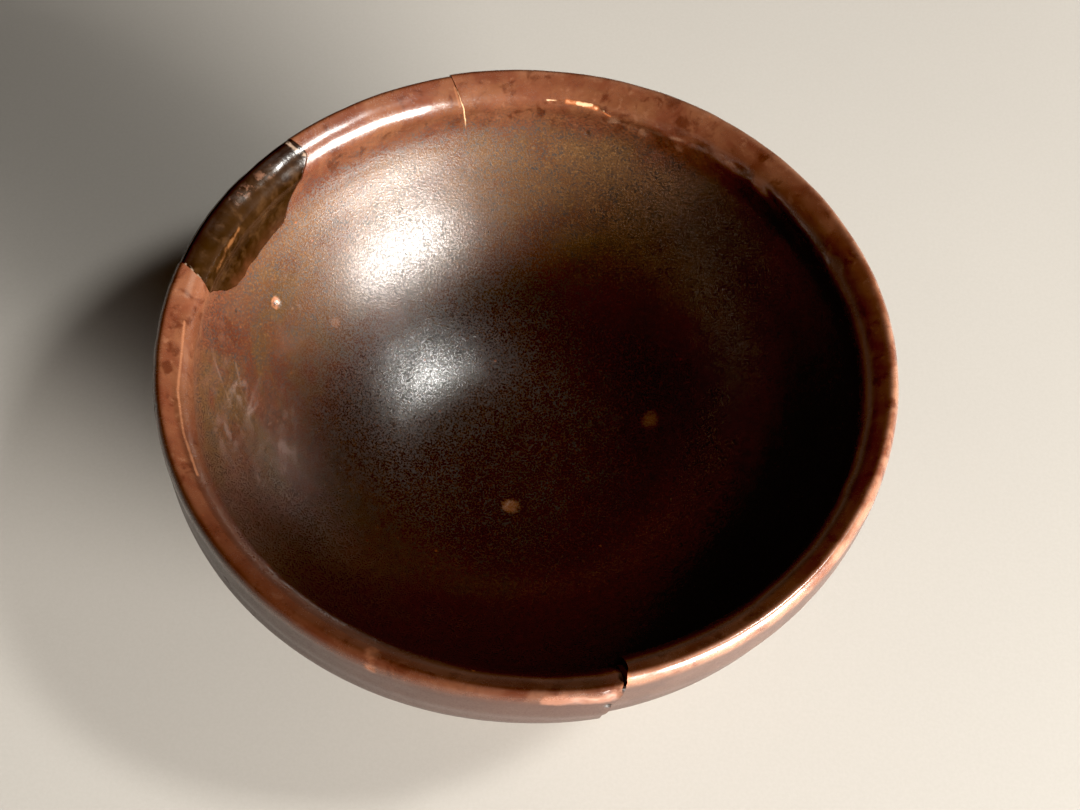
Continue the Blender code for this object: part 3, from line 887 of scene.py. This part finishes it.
    chips = any_of(g, crescent, g.mul(front_core, 0.8))
    rough = g.add(g.mul(g.add(g.mul(fine, 0.14), g.mul(small, 0.12)), 1.0), 0.07)
    rough = g.add(rough, g.mul(outer, 0.25))
    rough = g.add(rough, g.mul(dark, 0.42))
    rough = g.add(rough, g.mul(scuffs, 0.15))
    rough = g.math("ADD", rough, g.mul(chips, 0.4), clamp=True)

    # the inside is covered in a fine grain, which breaks a highlight into sparks
    wall = g.mul(inside, g.ramp(z, 56.0, 51.0))
    height = g.add(g.mul(fine, 0.5), g.mul(g.noise(0.26, 2.0, 0.7, 0.0, (4, 7, 7)), 0.5))
    grainy = g.tree.nodes.new("ShaderNodeBump")
    grainy.inputs["Distance"].default_value = 0.10 * MM
    g.link(height, grainy.inputs["Height"])
    g.link(g.add(g.mul(wall, 0.56), 0.10), grainy.inputs["Strength"])
    normal = g.bump(small, 0.12, 0.06, grainy.outputs["Normal"])
    normal = g.bump(middle, 0.25, 0.12, normal)
    return g, colour, rough, normal


def make_glaze(name):
    g, colour, rough, normal = glaze_material(name)
    return g.finish(colour, rough, normal, coat=0.08, coat_rough=0.22, level=0.6, ior=1.60)


def make_seam(name):
    """The glue in the break: the colour of the glaze inside, where it was touched in, and cream where it shows at the rim."""
    g, colour, rough, normal = glaze_material(name, True)
    x, y, z = g.xyz()
    cream = g.mul(g.ramp(z, 50.0, 53.0), g.ramp(y, 49.0, 51.0))
    cream = g.mul(cream, g.ramp(g.noise(1.4, 2.0), 0.30, 0.45, 0.35, 1.0))
    outer_dark = g.mul(g.ramp(y, 55.2, 56.2), 1.0)
    colour = g.mix(cream, colour, (0.50, 0.31, 0.175))
    colour = g.mix(outer_dark, colour, (0.022, 0.010, 0.006))
    front = g.mul(g.ramp(z, 57.4, 58.2), g.ramp(y, -50.0, -52.0))
    colour = g.mix(front, colour, (0.008, 0.004, 0.003))
    blob = g.spot((15.2, -58.9, 57.4), 0.5, 1.3, 0.5)
    colour = g.mix(g.mul(blob, 0.8), colour, (0.34, 0.19, 0.12))
    return g.finish(colour, rough, normal, coat=0.0, level=0.5, ior=1.5)


def make_lacquer(name):
    g = Graph(name)
    x, y, z = g.xyz()
    large = g.noise(9, 3.0, 0.6, 0.5)
    small = g.noise(2.2, 3.0, 0.6, 0.3, (4, 1, 2))
    fine = g.noise(0.6, 2.0, 0.5)
    colour = g.mix(g.ramp(large, 0.35, 0.65), (0.008, 0.0036, 0.0016), (0.018, 0.0085, 0.0035))
    colour = g.mix(g.mul(g.ramp(small, 0.45, 0.68), 0.6), colour, (0.038, 0.018, 0.007))
    top = g.ramp(z, 55.5, 59.0)
    r = g.vmath("LENGTH", g.vmath("MULTIPLY", g.p, (1, 1, 0)))
    outside = g.mul(top, g.ramp(r, 57.5, 59.5))
    colour = g.mix(g.mul(outside, 0.85), colour, (0.008, 0.0035, 0.0025))
    seen = g.ramp(g.add(z, g.mul(g.noise(2.4, 3.0, 0.6, 0.0, (6, 6, 6)), 4.0)), 51.2, 53.6, 1.0, 0.0)
    colour = g.mix(g.mul(seen, 0.4), colour, (0.030, 0.012, 0.005))
    feather = g.ramp(g.add(z, g.mul(g.noise(2.8, 3.0, 0.6, 0.0, (1, 6, 3)), 5.0)), 52.6, 48.6)
    colour = g.mix(g.mul(feather, 0.9), colour, (0.062, 0.022, 0.010))
    streak = g.stroke([(-53.6, 14.8, 55.8), (-52.0, 19.0, 56.4), (-50.1, 23.0, 57.0)], 0.02, 0.55, 0.7, 1.4)
    colour = g.mix(g.mul(streak, g.ramp(small, 0.38, 0.58, 0.08, 0.45)), colour, (0.21, 0.085, 0.032))
    ends = g.stroke([(-43.9, 40.6, 59.6), (-41.8, 39.2, 59.8), (-39.6, 38.9, 57.6), (-39.5, 39.1, 55.6)], 0.15, 0.5, 0.5, 0.8)
    ends = g.math("MAXIMUM", ends, g.stroke([(-57.8, 13.2, 59.6), (-56.2, 12.4, 59.9), (-54.8, 11.9, 58.9)], 0.15, 0.5, 0.5, 0.8))
    ends = g.mul(ends, g.ramp(g.noise(1.1, 2.0), 0.42, 0.60))
    colour = g.mix(g.mul(ends, 0.45), colour, (0.42, 0.30, 0.22))
    fleck = g.mul(g.stroke([(-51.2, 27.6, 59.4), (-48.4, 32.0, 59.2), (-46.0, 35.0, 58.6)], 0.2, 1.5, 1.2, 1.0), g.ramp(g.noise(1.5, 3.0, 0.6, 0.0, (2, 9, 9)), 0.50, 0.66))
    colour = g.mix(g.mul(fleck, 0.38), colour, (0.24, 0.12, 0.078))
    rough = g.add(g.mul(small, 0.16), 0.12)
    normal = g.bump(fine, 0.25, 0.04)
    normal = g.bump(small, 0.28, 0.16, normal)
    return g.finish(colour, rough, normal, coat=0.15, coat_rough=0.10, ior=1.5)


def make_clay(name, base=((0.26, 0.15, 0.085), (0.36, 0.235, 0.15)), spots=(0.07, 0.03, 0.018)):
    g = Graph(name)
    large = g.noise(14, 3.0, 0.6, 0.3)
    small = g.noise(1.6, 4.0, 0.65, 0.0, (3, 1, 4))
    fine = g.noise(0.35, 2.0, 0.6)
    colour = g.mix(g.ramp(large, 0.35, 0.65), base[0], base[1])
    colour = g.mix(g.mul(g.ramp(small, 0.40, 0.65), 0.45), colour, tuple(0.72 * v for v in base[0]))
    grog = g.ramp(g.cells(1.3, (2, 7, 1)), 0.20, 0.10)
    colour = g.mix(g.mul(grog, 0.55), colour, tuple(min(1.25 * v, 1) for v in base[1]))
    iron = g.mul(g.ramp(g.cells(2.6, (8, 8, 2)), 0.14, 0.07), 1.0)
    colour = g.mix(g.mul(iron, 0.85), colour, spots)
    x, y, z = g.xyz()
    # a toasted blush just under the glaze line, and a standing edge rubbed dark with use
    blush = g.mul(g.ramp(z, 8.5, 11.6), g.ramp(g.noise(4, 2.0), 0.3, 0.6, 0.5, 1.0))
    colour = g.mix(g.mul(blush, 0.6), colour, (0.21, 0.075, 0.032))
    worn = g.ramp(z, 1.4, 0.2)
    colour = g.mix(g.mul(worn, 0.5), colour, (0.15, 0.085, 0.05))
    rough = g.add(g.mul(small, 0.15), 0.72)
    normal = g.bump(g.add(g.mul(fine, 0.5), g.mul(small, 0.5)), 0.8, 0.16)
    return g.finish(colour, rough, normal, level=0.35)


glaze = make_glaze("iron_glaze")
clay_finish = make_clay("bare_clay")
putty_finish = make_clay("repair_putty", ((0.20, 0.12, 0.06), (0.27, 0.17, 0.095)), (0.09, 0.05, 0.03))
lacquer_finish = make_lacquer("repair_lacquer")
seam_finish = make_seam("glue_line")

for piece, node, slot, finish in (
    (left_skin, "left_glaze", "iron_glaze", glaze), (right_skin, "right_glaze", "iron_glaze", glaze), (lacquer, "patch_lacquer", "repair_lacquer", lacquer_finish),
    (left_clay, "left_sherd", "bare_clay", clay_finish), (right_clay, "right_sherd", "bare_clay", clay_finish), (putty, "patch_putty", "repair_putty", putty_finish), (seam, "break_glue", "glue_line", seam_finish),
):
    piece.data.materials.clear()
    piece.data.materials.append(finish)
    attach(piece, "root")
    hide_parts(node)
    print("PIECE", piece.name, len(piece.data.vertices), sum(len(p.vertices) - 2 for p in piece.data.polygons))

# --- floor --------------------------------------------------------------------------------------
floor_mesh = bpy.data.meshes.new("floor")
floor_mesh.from_pydata([(-3, -3, 0), (3, -3, 0), (3, 3, 0), (-3, 3, 0)], [], [(0, 1, 2, 3)])
floor = bpy.data.objects.new("floor", floor_mesh)
bpy.context.scene.collection.objects.link(floor)
g = Graph("pale_floor")
tone = g.noise(90, 3.0, 0.5)
grit = g.noise(0.7, 3.0, 0.7, 0.0, (5, 5, 5))
pale = g.mix(tone, (0.405, 0.388, 0.362), (0.438, 0.42, 0.39))
g.link(g.mix(g.ramp(grit, 0.3, 0.7, 0.0, 0.22), pale, (0.36, 0.34, 0.31)), g.shader.inputs["Base Color"])
g.link(g.bump(grit, 0.35, 0.05), g.shader.inputs["Normal"])
g.shader.inputs["Roughness"].default_value = 0.55
floor_mesh.materials.append(g.material)


# --- light ----------------------------------------------------------------------------------------
def area(name, azimuth, elevation, distance, width, height, watts, colour=(1, 1, 1)):
    light = bpy.data.lights.new(name, "AREA")
    light.shape = "RECTANGLE"
    light.size = width
    light.size_y = height
    light.energy = watts
    light.color = colour
    obj = bpy.data.objects.new(name, light)
    bpy.context.scene.collection.objects.link(obj)
    a, e = math.radians(azimuth), math.radians(elevation)
    back = np.array([math.cos(e) * math.cos(a), math.cos(e) * math.sin(a), math.sin(e)])
    side = np.array([-math.sin(a), math.cos(a), 0])
    up = np.cross(back, side)
    at = back * distance + np.array([0, 0, 0.03])
    obj.matrix_world = Matrix([[side[i], up[i], back[i], at[i]] for i in range(3)] + [[0, 0, 0, 1]])
    return obj


area("window", -41, 11.8, 1.75, 0.98, 0.76, 186.0, (1.0, 0.95, 0.885))
area("window_top", -9, 56, 0.80, 0.08, 0.11, 4.0, (1.0, 0.98, 0.93))

world = bpy.data.worlds.new("room")
world.use_nodes = True
# a dim room whose walls are lighter than its ceiling
ways = world.node_tree.nodes.new("ShaderNodeTexCoord")
parts = world.node_tree.nodes.new("ShaderNodeSeparateXYZ")
walls = world.node_tree.nodes.new("ShaderNodeMapRange")
walls.interpolation_type = "SMOOTHSTEP"
for name, number in (("From Min", 0.48), ("From Max", 0.03), ("To Min", 0.004), ("To Max", 0.40)):
    walls.inputs[name].default_value = number
world.node_tree.links.new(ways.outputs["Generated"], parts.inputs[0])
world.node_tree.links.new(parts.outputs["Z"], walls.inputs["Value"])
world.node_tree.links.new(walls.outputs["Result"], world.node_tree.nodes["Background"].inputs["Strength"])
world.node_tree.nodes["Background"].inputs["Color"].default_value = (1.0, 0.70, 0.55, 1)
bpy.context.scene.world = world
bpy.context.scene.view_settings.view_transform = "Standard"
bpy.context.scene.view_settings.exposure = 0.0
# a little less light in the deepest shade, as a small camera gives
bpy.context.scene.view_settings.use_curve_mapping = True
toe = bpy.context.scene.view_settings.curve_mapping
for number in (0.012, 0.05):
    toe.curves[3].points.new(number, {0.012: 0.0013, 0.05: 0.037}[number])
for point in toe.curves[3].points:
    point.handle_type = "VECTOR"
toe.update()

# --- camera ------------------------------------------------------------------------------------------
EL, ROLL, PAN, TILT = (math.radians(v) for v in (56.7113, 2.2312, -0.5282, 2.0170))
DISTANCE = 4.386443 * 61.0
back = np.array([0, -math.cos(EL), math.sin(EL)])
position = back * DISTANCE + np.array([0, 0, 58.6])
upward = np.array([0, math.sin(EL), math.cos(EL)])
R = np.array([[1, 0, 0], -upward, -back])


def rx(a):
    return np.array([[1, 0, 0], [0, math.cos(a), -math.sin(a)], [0, math.sin(a), math.cos(a)]])


def ry(a):
    return np.array([[math.cos(a), 0, math.sin(a)], [0, 1, 0], [-math.sin(a), 0, math.cos(a)]])


def rz(a):
    return np.array([[math.cos(a), -math.sin(a), 0], [math.sin(a), math.cos(a), 0], [0, 0, 1]])


R = rz(ROLL) @ rx(TILT) @ ry(PAN) @ R
camera_data = bpy.data.cameras.new("camera")
camera = bpy.data.objects.new("camera", camera_data)
bpy.context.scene.collection.objects.link(camera)
camera_data.sensor_fit = "HORIZONTAL"
camera_data.sensor_width = 36.0
camera_data.lens = 1622.0 / 1080.0 * 36.0
camera_data.clip_start = 0.01
camera_data.clip_end = 20
camera_data.dof.use_dof = False
axes = (R[0], -R[1], -R[2])
camera.matrix_world = Matrix([[axes[0][i], axes[1][i], axes[2][i], position[i] * MM] for i in range(3)] + [[0, 0, 0, 1]])
bpy.context.scene.camera = camera
